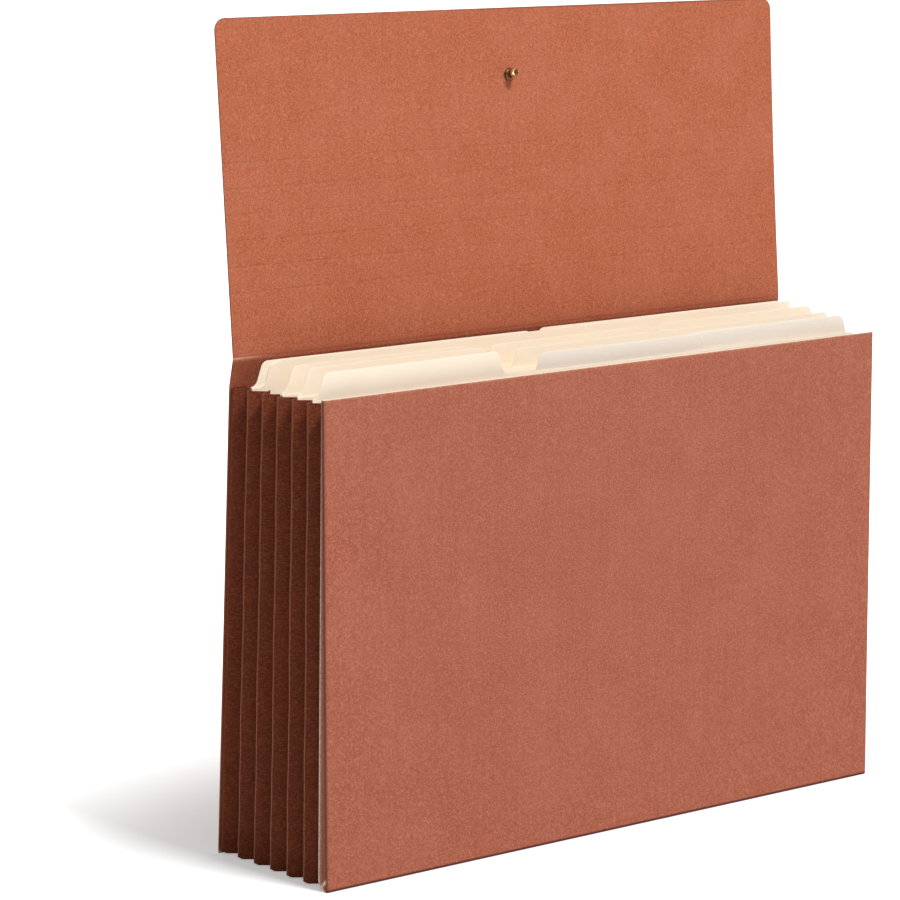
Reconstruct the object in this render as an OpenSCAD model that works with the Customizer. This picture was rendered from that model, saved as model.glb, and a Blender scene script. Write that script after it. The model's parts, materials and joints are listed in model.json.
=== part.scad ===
// Expanding file wallet. Two sheets of pressed board are joined on three sides by a pleated gusset, the back
// sheet carries a folding flap with a brass cord fitting, and tabbed folders stand in the pleats.
// Millimetres. The front faces -Y, the floor is z = 0 and the origin is under the middle of the base.

/* [Panels] */
// Width of the front and back panels
panel_w = 381; // [300:1:460]
// Height of the front panel
panel_h = 254; // [200:1:310]
// Thickness of the pressed board
sheet_t = 0.9; // [0.6:0.05:1.2]
// Depth over both panels at the floor
base_depth = 97; // [88:1:120]
// Depth over both panels at the top of the gusset
mouth_depth = 82; // [74:1:100]

/* [Front hem] */
// Depth of the folded hem at the floor
hem_base = 7.9; // [5:0.1:12]
// Depth of the side hems at the top of the panel
hem_top = 2.1; // [1.5:0.1:5]
// Outer radius of the folded edges
hem_bend_r = 1.4; // [1.25:0.05:2]
// Notch that keeps the bottom hem clear of the side hems
hem_notch = 2; // [1.5:0.1:4]

/* [Gusset] */
// Number of pleats from front to back
pleats = 6; // [5:1:6]
// Thickness of the gusset cloth
leaf_t = 0.6; // [0.4:0.05:0.75]
// Slope of a leaf away from straight in
leaf_angle = 34; // [28:1:42]
// Radius at the lower corner of a ridge
ridge_corner_r = 3; // [1:0.1:6]
// Drop from the top of the front panel to the top of the gusset
gusset_drop = 3; // [1:0.5:10]
// Gap at a fold line between a ridge and its leaf
fold_gap = 0.4; // [0.3:0.05:0.6]
// Gap in a valley between two leaves
valley_gap = 0.6; // [0.5:0.05:1]
// Gap between a side leaf and the bottom of the gusset
corner_gap = 0.3; // [0.2:0.05:0.6]
// Glue line between the last ridge and the back panel
glue_gap = 0.1; // [0.05:0.05:0.2]

/* [Back neck] */
// Length of the back sheet between the gusset and the flap crease
neck_l = 15; // [10:0.5:25]
// Forward lean of the neck
neck_lean = 14; // [8:1:18]

/* [Flap] */
// Length of the flap from its crease to its free edge
flap_l = 172; // [150:1:210]
// Backward lean of the open flap
flap_lean = 4.5; // [0:0.5:8]
// Radius of the flap's free corners
flap_corner_r = 6.5; // [3:0.5:15]
// Distance from the crease to the first score line
first_score = 33; // [25:0.5:40]
// Distance between score lines
score_step = 13.2; // [10:0.1:14]
// Number of score lines
score_count = 6; // [6:1:7]
// Width of a score line
score_w = 1.2; // [0.8:0.1:2]
// Depth of a score line
score_depth = 0.25; // [0.1:0.05:0.3]
// Score line at which the shoulder strip starts, counted from the crease
shoulder_score = 4; // [3:1:5]
// Gap from a fold axis to the sheet on each side of it
crease_gap = 0.35; // [0.3:0.05:0.45]
// Thickness of the sheet where it is creased
crease_t = 0.24; // [0.2:0.02:0.3]
// Length over which a crease thins the sheet
crease_taper = 1.5; // [1.2:0.1:2.5]

/* [Cord fitting] */
// Distance from the flap's free edge to the eyelet
eyelet_drop = 36; // [20:1:60]
// Radius of the hole in the flap
eyelet_hole_r = 2.65; // [2.3:0.05:3.5]
// Radius of the eyelet's flanges
flange_r = 3.6; // [3.5:0.1:5]
// Thickness of the eyelet's flanges
flange_t = 0.5; // [0.3:0.05:0.8]
// Wall of the eyelet's barrel
eyelet_wall = 0.5; // [0.3:0.05:0.6]
// Radius of the ferrule's ball end
ball_r = 2.4; // [2:0.1:3]
// Height of the ball's tip above the flap
ball_rise = 6.8; // [6:0.1:9]
// Radius of the ferrule's neck
neck_r = 1.7; // [1.4:0.05:1.9]
// Radius of the socket that takes the end of an elastic cord
cord_r = 1.25; // [0.8:0.05:1.3]
// Depth of the cord socket
cord_depth = 5; // [3:0.5:6]
// Running gap of the cord fitting's pieces
fit_gap = 0.05; // [0.02:0.01:0.1]

/* [Folders] */
// Thickness of a closed folder
folder_t = 0.6; // [0.4:0.05:0.7]
// Gap between folders that stand in one ridge
folder_gap = 0.1; // [0.05:0.05:0.2]
// Gap from the outer folders to the leaves of their ridge
folder_clear = 0.2; // [0.15:0.05:0.4]
// Gap from a folder's side edge to the outside of the gusset
folder_inset = 3.2; // [3:0.1:8]
// Gap under a folder
folder_seat = 0.3; // [0.2:0.05:0.5]
// Height of a folder's tab
tab_h = 13; // [10:0.5:18]
// Radius of a tab's upper corners
tab_corner_r = 4.5; // [2:0.5:6]
// Radius of the hollow at the foot of a tab's sides
tab_foot_r = 4.5; // [2:0.5:6]
// Lean of a tab's sides from upright
tab_lean = 18; // [5:1:30]
// How much wider a tab is than its share of the folder
tab_lap = 2; // [0:0.5:6]

/* [Hidden] */
$fn = 64;
arc_steps = 8;

// Rows of folders from front to back: folders in the row, whose tabs share the width, the ridge they stand in,
// the sideways shift of the middle tab, and the rise of the tabs above the front panel from left to right
row_tabs = [3, 3, 3, 2];
row_ridge = [1, 2, 3, 5];
row_shift = [18, 12, 5, 0];
row_rise = [[12, 8.5, 9], [12.8, 10, 9.5], [12.4, 11, 11.6], [11.3, 11.3]];
function row_first(row) = row == 0 ? 1 : row_first(row - 1) + row_tabs[row - 1];
folder_count = row_first(len(row_tabs)) - 1;

SIDES = ["left", "bottom", "right"];
BOARD = [0.72, 0.42, 0.33];
CLOTH = [0.31, 0.18, 0.12];
BRASS = [0.80, 0.62, 0.28];
MANILA = [0.97, 0.90, 0.79];

function two_digits(i) = i < 10 ? str("0", i) : str(i);

// Lines of the two sheets
front_y = -base_depth / 2;
back_y = base_depth / 2;
gusset_h = panel_h - gusset_drop;
back_lean = atan((base_depth - mouth_depth) / gusset_h);
function hem_depth(z) = hem_base + (hem_top - hem_base) * z / panel_h;

// Section of a ridge: a chevron whose ends are the fold lines of two leaves
row_t = max(row_tabs) * folder_t + (max(row_tabs) - 1) * folder_gap;
ridge_half = row_t / 2 + folder_clear + leaf_t / 2;
ridge_reach = ridge_half + leaf_t / 2 * cos(leaf_angle);
fold_inset = ridge_half / tan(leaf_angle) + leaf_t / 2 / sin(leaf_angle);
function along_leaf(w, side) = [
    fold_inset + w * cos(leaf_angle) - side * leaf_t / 2 * sin(leaf_angle),
    ridge_half + w * sin(leaf_angle) + side * leaf_t / 2 * cos(leaf_angle)
];
function flip(p) = [p.x, -p.y];
ridge_outer = along_leaf(-fold_gap / 2, 1);
ridge_inner = along_leaf(-fold_gap / 2, -1);
ridge_nose = [leaf_t / sin(leaf_angle), 0];
chevron = [[0, 0], ridge_outer, ridge_inner, ridge_nose, flip(ridge_inner), flip(ridge_outer)];

// Ridge lines run evenly from the edge of the front hem, line 0, to the back panel, the last line
line_ahead = leaf_t / 2 + fold_gap - ridge_half;
line_behind = sheet_t / cos(back_lean) + ridge_reach + glue_gap;
first_base = front_y + hem_base + line_ahead;
first_top = front_y + hem_depth(gusset_h) + line_ahead;
last_base = back_y - line_behind;
last_top = back_y - (base_depth - mouth_depth) - line_behind;
base_pitch = (last_base - first_base) / pleats;
top_pitch = (last_top - first_top) / pleats;
function ridge_y(k) = first_base + base_pitch * k;
function ridge_lean(k) = atan((ridge_y(k) - first_top - top_pitch * k) / gusset_h);

// A leaf reaches from its fold line to the middle of a valley
function leaf_reach(pitch) =
    (pitch / 2 - ridge_half - valley_gap / 2 - leaf_t / 2 * cos(leaf_angle)) / sin(leaf_angle);
base_reach = leaf_reach(base_pitch);
top_reach = leaf_reach(top_pitch);
bottom_half = panel_w / 2 - fold_inset - base_reach - corner_gap;

// The flap turns on the crease above the neck
bend_y = back_y - (base_depth - mouth_depth) - sheet_t / 2 / cos(back_lean);
crease_y = bend_y - neck_l * sin(neck_lean);
crease_z = gusset_h + neck_l * cos(neck_lean);
function score(i) = first_score + score_step * (i - 1);
fold_low = score(shoulder_score);
fold_high = score(shoulder_score + 1);
eyelet_d = flap_l - eyelet_drop;

// The eyelet's barrel fits the hole in the flap, and the ferrule fits the barrel
barrel_r = eyelet_hole_r - fit_gap;
bore_r = barrel_r - eyelet_wall;
flange_top = sheet_t / 2 + flange_t;

// A tab's side rises from a round foot through a straight lean to a round corner
folder_w = panel_w - 2 * folder_inset;
tab_rounds = tab_foot_r + tab_corner_r;
tab_run = tab_rounds * cos(tab_lean) + (tab_h - tab_rounds * (1 - sin(tab_lean))) * tan(tab_lean);
function arc(centre, r, from, to) =
    [for (i = [0 : arc_steps]) let (a = from + (to - from) * i / arc_steps) centre + r * [cos(a), sin(a)]];
tab_side = concat(
    arc([0, tab_foot_r], tab_foot_r, -90, -tab_lean),
    arc([tab_run, tab_h - tab_corner_r], tab_corner_r, 180 - tab_lean, 90)
);

// Moves a section drawn in Y and Z, extruded upwards, to lie along X
module along_x(length) {
    rotate([90, 0, 90]) linear_extrude(length, center = true) children();
}

module both_sides() {
    children();
    mirror([1, 0, 0]) children();
}

// Folded strip of sheet: one leg along X, one along Y, joined by a round bend
module bend_section(leg_x, leg_y) {
    translate([hem_bend_r, 0]) square([leg_x - hem_bend_r, sheet_t]);
    translate([0, hem_bend_r]) square([sheet_t, leg_y - hem_bend_r]);
    translate([hem_bend_r, hem_bend_r]) intersection() {
        difference() {
            circle(hem_bend_r);
            circle(hem_bend_r - sheet_t);
        }
        translate([-hem_bend_r, -hem_bend_r]) square(hem_bend_r);
    }
}

// What a round of this radius takes off a corner at the origin
module corner_waste(r) {
    difference() {
        square(2 * r, center = true);
        translate([r, r]) circle(r);
    }
}

// Front sheet: the side hems taper to the top and stop short of the bottom hem
module front_panel() {
    over = panel_h + 1;
    color(BOARD) translate([0, front_y, 0]) {
        difference() {
            both_sides() translate([-panel_w / 2, 0, 0])
                linear_extrude(panel_h) bend_section(panel_w / 2, hem_base);
            along_x(panel_w + 1)
                polygon([[hem_base, 0], [hem_base + 1, 0], [hem_base + 1, over], [hem_depth(over), over]]);
            translate([-panel_w, sheet_t, -1]) cube([2 * panel_w, hem_base, hem_notch + 1]);
            along_x(panel_w + 1) corner_waste(hem_bend_r);
        }
        along_x(panel_w - 2 * hem_notch) bend_section(hem_base, 2 * hem_bend_r);
    }
}

// Back sheet: leans forward to the top of the gusset, then bends into the neck below the flap's crease
module back_panel() {
    neck = [-sin(neck_lean), cos(neck_lean)];
    across = [cos(neck_lean), sin(neck_lean)];
    half_bend = (neck_lean - back_lean) / 2;
    bend_across = [cos(neck_lean - half_bend), sin(neck_lean - half_bend)] / cos(half_bend);
    crease = [crease_y, crease_z];
    function side_points(s) = [
        [back_y - sheet_t / 2 / cos(back_lean) * (1 - s), 0],
        [bend_y, gusset_h] + s * sheet_t / 2 * bend_across,
        crease - (crease_gap + crease_taper) * neck + s * sheet_t / 2 * across,
        crease - crease_gap * neck + s * crease_t / 2 * across
    ];
    outer = side_points(1);
    inner = side_points(-1);
    color(BOARD) along_x(panel_w) polygon(concat(outer, [for (i = [len(inner) - 1 : -1 : 0]) inner[i]]));
}

// Places the flap's own frame: Z along the flap from its crease, Y out of its outer face
module on_flap() {
    translate([0, crease_y, crease_z]) rotate([-flap_lean, 0, 0]) children();
}

// Length of flap from one fold to the next, with pressed score lines across its inner face
module flap_strip(low, high, low_t, high_t, scores) {
    half = sheet_t / 2;
    low_taper = low_t < sheet_t ? crease_taper : 0;
    high_taper = high_t < sheet_t ? crease_taper : 0;
    score_points = [for (i = [len(scores) - 1 : -1 : 0]) for (p = [1, 0, -1])
        [p == 0 ? score_depth - half : -half, scores[i] + p * score_w / 2]];
    along_x(panel_w) polygon(concat(
        [[low_t / 2, low], [half, low + low_taper], [half, high - high_taper], [high_t / 2, high]],
        [[-high_t / 2, high], [-half, high - high_taper]],
        score_points,
        [[-half, low + low_taper], [-low_t / 2, low]]
    ));
}

module flap_panel() {
    color(BOARD) on_flap() flap_strip(crease_gap, fold_low - crease_gap, crease_t, crease_t,
        [for (i = [1 : shoulder_score - 1]) score(i)]);
}

module flap_shoulder() {
    color(BOARD) on_flap() flap_strip(fold_low + crease_gap, fold_high - crease_gap, crease_t, crease_t, []);
}

// Free end of the flap, with round corners and the hole for the eyelet
module flap_tip() {
    r = flap_corner_r;
    color(BOARD) on_flap() difference() {
        intersection() {
            flap_strip(fold_high + crease_gap, flap_l, crease_t, sheet_t,
                [for (i = [shoulder_score + 2 : score_count]) score(i)]);
            rotate([90, 0, 0]) linear_extrude(2 * sheet_t, center = true) {
                translate([-panel_w / 2, 0]) square([panel_w, flap_l - r]);
                translate([r - panel_w / 2, 0]) square([panel_w - 2 * r, flap_l]);
                for (x = [-1, 1]) translate([x * (panel_w / 2 - r), flap_l - r]) circle(r);
            }
        }
        translate([0, 0, eyelet_d]) rotate([90, 0, 0])
            cylinder(h = 2 * sheet_t, r = eyelet_hole_r, center = true);
    }
}

// Places the cord fitting's own frame: Z out of the flap's inner face, from the middle of the sheet
module on_eyelet() {
    on_flap() translate([0, 0, eyelet_d]) rotate([90, 0, 0]) children();
}

// Brass eyelet clinched through the flap, with a flange on each face
module cord_eyelet() {
    edge_h = sheet_t / 2 + flange_t / 3;
    shoulder_r = flange_r - flange_t;
    face_h = sheet_t / 2;
    half = [[barrel_r, face_h], [flange_r, face_h], [flange_r, edge_h], [shoulder_r, flange_top],
        [bore_r, flange_top]];
    color(BRASS) on_eyelet() rotate_extrude()
        polygon(concat([for (i = [len(half) - 1 : -1 : 0]) flip(half[i])], half));
}

// Brass ferrule: a collar seated on the eyelet, a neck with a ball end, and a socket for the cord's end
module cord_ferrule() {
    collar_h = flange_t;
    shank_r = bore_r - fit_gap;
    collar_r = flange_r - flange_t - 2 * fit_gap;
    ball_h = sheet_t / 2 + ball_rise - ball_r;
    color(BRASS) on_eyelet() rotate_extrude() difference() {
        union() {
            translate([0, -flange_top]) square([shank_r, 2 * flange_top]);
            translate([0, flange_top]) square([collar_r, collar_h]);
            translate([0, flange_top]) square([neck_r, ball_h - flange_top]);
            intersection() {
                translate([0, ball_h]) circle(ball_r);
                translate([0, ball_h - ball_r]) square([ball_r, 2 * ball_r]);
            }
        }
        translate([0, -flange_top - 1]) square([cord_r, cord_depth + 1]);
    }
}

// Places a ridge's own frame: Z up the leaning ridge line, in the plane of the ridge
module at_ridge(k) {
    translate([0, ridge_y(k), 0]) rotate([ridge_lean(k), 0, 0]) children();
}

// Outer crease of the gusset: a chevron up each side, joined by a flat strip under the bottom
module gusset_ridge(k) {
    color(CLOTH) difference() {
        union() {
            at_ridge(k) both_sides() translate([-panel_w / 2, 0, leaf_t / 2])
                linear_extrude(gusset_h - leaf_t / 2) polygon(chevron);
            translate([-panel_w / 2, ridge_y(k) - ridge_reach, 0]) cube([panel_w, 2 * ridge_reach, leaf_t]);
        }
        both_sides() translate([-panel_w / 2, ridge_y(k), 0]) rotate([90, 0, 0])
            linear_extrude(4 * ridge_reach, center = true) corner_waste(ridge_corner_r);
    }
}

// Side leaf on the left: tapers with the pleats, and runs back from its ridge if dir is 1, forward if -1
module side_leaf(k, dir) {
    low = leaf_t + corner_gap;
    start = fold_gap / 2;
    at_ridge(k) translate([fold_inset - panel_w / 2, dir * ridge_half, 0]) rotate([90, 0, dir * leaf_angle])
        linear_extrude(leaf_t, center = true)
        polygon([[start, low], [base_reach, low], [top_reach, gusset_h], [start, gusset_h]]);
}

// Bottom leaf: spans between the side leaves
module bottom_leaf(k, dir) {
    translate([-bottom_half, ridge_y(k) + dir * ridge_half, leaf_t]) rotate([-dir * leaf_angle, 0, 0])
        translate([0, -leaf_t / 2, corner_gap]) cube([2 * bottom_half, leaf_t, base_reach - corner_gap]);
}

// Leaves count from the front: the odd ones fold on the ridge ahead, the even ones on the ridge behind
module gusset_leaf(side, i) {
    k = floor(i / 2);
    dir = i % 2 == 1 ? 1 : -1;
    color(CLOTH) {
        if (side == "left") side_leaf(k, dir);
        if (side == "right") mirror([1, 0, 0]) side_leaf(k, dir);
        if (side == "bottom") bottom_leaf(k, dir);
    }
}

// Tab with its foot on the X axis, drawn down into the folder below it
module tab_outline(width) {
    right = [for (i = [len(tab_side) - 1 : -1 : 0]) [width - tab_side[i].x, tab_side[i].y]];
    polygon(concat([[0, -tab_h]], tab_side, right, [[width, -tab_h]]));
}

// Manila folder: two leaves on a bottom fold, the back one with its own place for the tab
module folder(n) {
    row = max([for (r = [0 : len(row_tabs) - 1]) if (n >= row_first(r)) r]);
    place = n - row_first(row);
    last = row_tabs[row] - 1;
    low = leaf_t + folder_seat;
    foot = panel_h + row_rise[row][place] - tab_h;
    tab_w = folder_w / row_tabs[row] + tab_lap;
    shift = place > 0 && place < last ? row_shift[row] : 0;
    tab_x = -folder_w / 2 + place / last * (folder_w - tab_w) + shift;
    color(MANILA) at_ridge(row_ridge[row]) translate([0, (place - last / 2) * (folder_t + folder_gap), 0]) {
        translate([-folder_w / 2, -folder_t / 2, low + folder_t / 2])
            cube([folder_w, folder_t, foot - low - folder_t / 2]);
        translate([0, 0, low + folder_t / 2]) rotate([0, 90, 0])
            cylinder(h = folder_w, r = folder_t / 2, center = true);
        translate([tab_x, folder_t / 2, foot]) rotate([90, 0, 0])
            linear_extrude(folder_t / 2) tab_outline(tab_w);
    }
}

front_panel();
back_panel();
flap_panel();
flap_shoulder();
flap_tip();
cord_eyelet();
cord_ferrule();
for (k = [1 : pleats]) gusset_ridge(k);
for (side = SIDES) for (i = [1 : 2 * pleats])
    gusset_leaf(side, i);
for (n = [1 : folder_count]) folder(n);
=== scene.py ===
"""Looks of an expanding file wallet: pressed board, pleated gusset, tabbed folders and brass cord fitting.

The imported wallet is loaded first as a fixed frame, and every surface is worked out from its fold lines.
"""
import json
from math import atan2, cos, radians, sin, tan

import bpy
import numpy as np
from bpy.props import FloatProperty, FloatVectorProperty, IntProperty, PointerProperty
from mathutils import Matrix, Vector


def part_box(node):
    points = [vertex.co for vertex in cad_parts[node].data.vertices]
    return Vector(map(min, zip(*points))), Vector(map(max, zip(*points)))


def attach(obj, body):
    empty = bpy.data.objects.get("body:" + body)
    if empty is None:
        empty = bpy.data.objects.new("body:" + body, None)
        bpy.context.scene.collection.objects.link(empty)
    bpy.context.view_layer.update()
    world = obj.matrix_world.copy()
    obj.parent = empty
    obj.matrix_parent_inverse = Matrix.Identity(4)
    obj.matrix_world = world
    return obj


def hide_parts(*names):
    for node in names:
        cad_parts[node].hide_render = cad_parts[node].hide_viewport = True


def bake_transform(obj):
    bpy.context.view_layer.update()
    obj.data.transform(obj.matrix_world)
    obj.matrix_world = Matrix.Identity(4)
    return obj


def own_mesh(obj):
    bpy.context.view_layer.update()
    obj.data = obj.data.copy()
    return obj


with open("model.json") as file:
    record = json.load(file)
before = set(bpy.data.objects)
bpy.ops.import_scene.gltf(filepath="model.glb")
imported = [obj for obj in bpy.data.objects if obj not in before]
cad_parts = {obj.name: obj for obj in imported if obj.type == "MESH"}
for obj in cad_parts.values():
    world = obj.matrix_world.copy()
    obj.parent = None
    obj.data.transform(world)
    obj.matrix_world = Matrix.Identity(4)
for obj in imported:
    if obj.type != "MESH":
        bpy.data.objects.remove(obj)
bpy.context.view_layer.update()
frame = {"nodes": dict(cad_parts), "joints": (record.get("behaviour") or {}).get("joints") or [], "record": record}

bl_info = {
    "name": "File Wallet",
    "version": (1, 0, 0),
    "blender": (4, 5, 0),
    "location": "View3D > Sidebar > Wallet",
    "description": "Builds the visible surfaces of an expanding file wallet around its packed frame",
    "category": "Add Mesh",
}

FOLDS = {joint["name"]: joint for joint in frame["joints"]}
CARRIERS = {node: body for body, nodes in frame["record"]["behaviour"]["bodies"].items() for node in nodes}
FRONT_LOW, FRONT_HIGH = (np.array(corner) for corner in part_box("front_panel"))
BACK_HIGH = np.array(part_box("back_panel")[1])
TIP_HIGH = np.array(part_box("flap_tip")[1])
HALF_WIDTH = float(FRONT_HIGH[0])
FRONT_Y = float(FRONT_LOW[1])
PANEL_HEIGHT = float(FRONT_HIGH[2])
HEM_DEPTH = float(FRONT_HIGH[1] - FRONT_LOW[1])
PLEATS = 6
MM = 0.001
GAP = 0.05 * MM  # left between surfaces that lie against each other
ACROSS = np.array([1.0, 0, 0])
BACKWARD = np.array([0, 1.0, 0])
UP = np.array([0, 0, 1.0])
INWARD = {"left": ACROSS, "bottom": UP, "right": -ACROSS}


def amount(name, description, default, kind=FloatProperty, **limits):
    """A property that holds a number."""
    return kind(name=name, description=description, default=default, **limits)


def length(name, description, millimetres):
    """A property that holds a length."""
    return amount(name, description, millimetres * MM, min=0.0, precision=5, unit="LENGTH")


def slope(name, description, degrees):
    """A property that holds an angle."""
    return amount(name, description, radians(degrees), subtype="ANGLE")


def vector(name, description, default, **limits):
    """A property that holds a place, a turn, a colour or a pair of lengths."""
    return amount(name, description, default, FloatVectorProperty, size=len(default), **limits)


def colour(name, description, *display):
    """A property that holds the linear colour of a display colour of 0 to 255."""
    parts = [part / 255 for part in display]
    linear = [p / 12.92 if p <= 0.04045 else ((p + 0.055) / 1.055) ** 2.4 for p in parts]
    return vector(name, description, linear, min=0.0, max=1.0, subtype="COLOR")


class WalletSizes(bpy.types.PropertyGroup):
    """Sizes of the sheets, pleats, folders and fitting."""

    board: length("Board", "Thickness of the pressed board", 0.9)
    hem_bend: length("Hem bend", "Outer radius of the front's bend into its hem", 1.4)
    hem_base: length("Hem at the floor", "Depth of the hem at the floor", HEM_DEPTH / MM)
    hem_top: length("Hem at the top", "Depth of the hem at the top of the front", 2.1)
    hem_round: length("Hem corner", "Height of the hem's rounded lower corner", 6)
    gusset_drop: length("Gusset drop", "How far the gusset ends below the front's top", 3)
    fold_blend: length("Fold blend", "Half the width of board that bends at a fold", 1.5)
    score_depth: length("Score depth", "Depth of a score line pressed into the flap", 0.1)
    score_width: length("Score width", "Width of a score line", 0.6)
    score_count: amount("Scores", "Score lines across the flap", 6, IntProperty, min=1)
    scores_below: amount("Scores below", "Score lines below the lower fold", 3, IntProperty, min=0)
    flap_corner: length("Flap corner", "Radius of the flap's free corners", 6.5)
    flap_curl: length("Flap curl", "How far the flap's right corner curls forward", 3.2)
    flap_skew: length("Flap skew", "How far the flap's free corners lie above and below true", 2.0)
    cloth: length("Gusset cloth", "Thickness of the gusset", 0.6)
    pleat_angle: slope("Pleat angle", "Angle between a leaf and the ridge's plane", 34)
    ridge_half: length("Ridge half width", "Half the width between a ridge's two fold lines", 1.5)
    ridge_bend: length("Ridge bend", "Radius of the cloth's bend along a ridge", 0.45)
    valley_bend: length("Valley bend", "Radius of the cloth's bend along a valley", 0.5)
    pleat_corner: length("Pleat corner", "Radius of a pleat's lower corner", 2.2)
    pleat_wave: length("Pleat wave", "How far handling has bent the pleats", 0.22)
    glue_strip: length("Glue strip", "Width of the gusset's glued end", 9)
    card: length("Folder card", "Thickness of a folder's leaf", 0.25)
    card_gap: length("Leaf gap", "Half the gap between a folder's two leaves", 0.2)
    folder_step: length("Folder step", "Distance between the folders of a row", 0.7)
    folder_inset: length("Folder inset", "Gap between a folder's end and the wallet's side", 3.2)
    rear_rise: length("Rear folder rise", "How far the rear folders stand out of their ridge", 0.6)
    folder_slack: length("Folder slack", "How far a folder's free top waves", 0.7)
    tab_height: length("Tab height", "Height of a folder's tab", 13)
    tab_lean: slope("Tab lean", "Lean of a tab's sides from upright", 18)
    tab_foot: length("Tab foot", "Radius of the hollow at the foot of a tab's sides", 4.5)
    tab_corner: length("Tab corner", "Radius of a tab's upper corners", 4.5)
    leaf_drop: length("Leaf drop", "How much lower the front leaf of a folder is", 1.5)
    ball: length("Ferrule ball", "Radius of the ferrule's ball", 2.4)
    ball_rise: length("Ball rise", "Distance of the ball's centre from the board's middle", 4.85)
    ball_lean: slope("Ball lean", "Upward lean of the ferrule from square", 14)
    ferrule_neck: length("Ferrule neck", "Radius of the ferrule below its ball", 1.7)
    collar: length("Ferrule collar", "Radius of the ferrule's collar", 3.0)
    cup: length("Ball cup", "Radius of the hollow in the ball's end", 1.6)
    flange: length("Eyelet flange", "Radius of the eyelet's flanges", 3.6)
    lip: length("Eyelet lip", "Thickness of the eyelet's flanges", 0.5)
    bore: length("Eyelet bore", "Radius of the eyelet's bore", 2.1)
    eyelet_hole: length("Eyelet hole", "Radius of the hole through the flap", 2.65)
    eyelet_drop: length("Eyelet drop", "Distance from the flap's free edge to the eyelet", 36)


class WalletColours(bpy.types.PropertyGroup):
    """Colours of the finishes."""

    front: colour("Front board", "Pressed board of the front", 167, 94, 72)
    flap: colour("Flap board", "Inside face of the flap", 175, 95, 63)
    fleck_dark: colour("Dark fibre", "Dark fibres in the board", 128, 60, 40)
    fleck_pale: colour("Pale fibre", "Pale fibres in the board", 204, 140, 112)
    # Painted shade: darkens the side and bottom hems and the cut edges of the back and flap, which face away from
    # the lamp.
    hem: colour("Hem", "Board of the hem, darkened by its fold", 132, 72, 54)
    # Painted shade: darkens the front's bend and foot, the flap's score lines and the neck below the crease.
    groove: colour("Groove", "Board along a folded or pressed line", 74, 32, 24)
    # Also painted as highlights along the front's top edge and the flap's crease.
    raw_edge: colour("Raw edge", "Cut edge of the board", 250, 228, 205)
    gusset: colour("Gusset", "Cloth of the gusset", 110, 48, 24)
    gusset_dark: colour("Dark cloth", "Dark threads of the gusset", 72, 27, 12)
    gusset_pale: colour("Pale cloth", "Pale threads of the gusset", 142, 76, 48)
    gusset_worn: colour("Worn cloth", "Cloth worn pale along a ridge", 178, 126, 100)
    folder: colour("Folder", "Card of the folders", 254, 240, 218)
    folder_pale: colour("Pale folder", "Greyer card of some folders", 242, 232, 218)
    folder_deep: colour("Deep folder", "Card where it is deeper in colour", 248, 229, 203)
    # Also painted as a highlight along the top of each leaf.
    folder_edge: colour("Folder edge", "Cut edge of the card", 255, 248, 232)
    brass: colour("Brass", "Metal of the eyelet and ferrule", 242, 214, 156)
    # Painted reflection and shade: darkens the eyelet, the collar, the back of the ball and its hollow end,
    # besides faint random tarnish.
    brass_dark: colour("Tarnished brass", "Metal where it is tarnished", 90, 56, 36)
    floor: vector("Floor", "Studio floor", (0.8, 0.8, 0.8), min=0.0, max=1.0, subtype="COLOR")


class WalletStudio(bpy.types.PropertyGroup):
    """Camera, lamp, surroundings and floor."""

    camera_place: vector("Camera", "Place of the camera", (-1.321, -1.5805, 0.565), unit="LENGTH")
    camera_turn: vector("Camera turn", "Turn of the camera",
                        (radians(79.99), radians(0.1), radians(-38.33)), subtype="EULER")
    camera_lens: amount("Lens", "Focal length in millimetres", 155.1)
    key_place: vector("Key place", "Place of the large lamp", (0.8, -4.0, 6.2), unit="LENGTH")
    key_size: length("Key size", "Side of the large lamp", 1500)
    key_power: amount("Key", "Power of the large lamp", 495.0, unit="POWER")
    sky: amount("Sky", "Strength of the white surroundings", 0.38)
    floor_lift: amount("Floor lift", "Glow that takes the floor to white", 0.33)
    shadow_reach: vector("Shadow reach", "Half widths of the floor that keeps a shadow",
                         (0.36, 0.21), unit="LENGTH")


class Wire:
    """A value in a finish: adding, subtracting and multiplying it adds the Math nodes."""

    def __init__(self, finish, socket):
        self.finish = finish
        self.socket = socket

    def __add__(self, other):
        return self.finish.maths("ADD", self, other)

    def __radd__(self, other):
        return self.finish.maths("ADD", other, self)

    def __sub__(self, other):
        return self.finish.maths("SUBTRACT", self, other)

    def __rsub__(self, other):
        return self.finish.maths("SUBTRACT", other, self)

    def __mul__(self, other):
        return self.finish.maths("MULTIPLY", self, other)

    def __rmul__(self, other):
        return self.finish.maths("MULTIPLY", other, self)


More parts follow.
